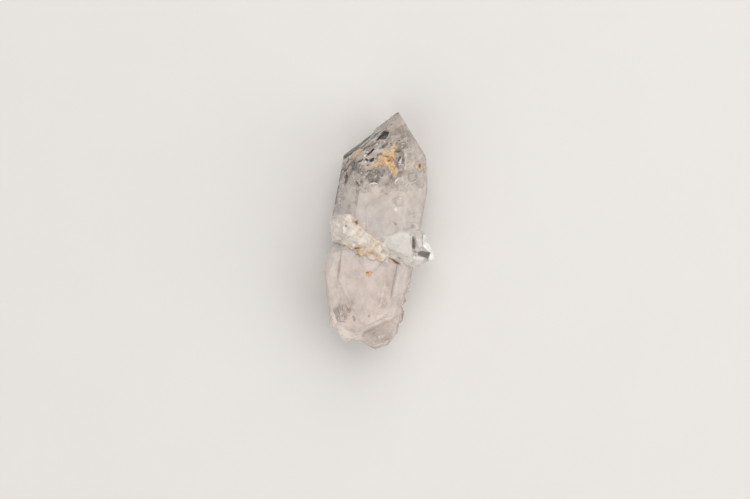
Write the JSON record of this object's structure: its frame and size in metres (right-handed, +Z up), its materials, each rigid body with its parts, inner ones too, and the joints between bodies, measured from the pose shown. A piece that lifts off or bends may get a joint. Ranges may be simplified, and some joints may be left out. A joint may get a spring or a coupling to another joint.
{
  "type": "double terminated quartz crystal",
  "caption": "Clear to milky double terminated quartz: sharp point above, blunt lobed end below, belt of small crystals at the waist and a side crystal; lies on its flat back face.",
  "frame": {"origin": "middle of the outline seen from above, on the surface that the crystal lies on", "axes": "+Y along the c axis to the sharp point, +Z up out of the front face, +X toward the side crystal; the crystal lies on its back face"},
  "size_m": [0.0232, 0.05, 0.0162],
  "materials": {
    "quartz": "glassy natural faces, milky inside, with ochre clay in the hollows"
  },
  "bodies": {
    "root": {"quartz_crystal": "quartz"}
  },
  "joints": []
}
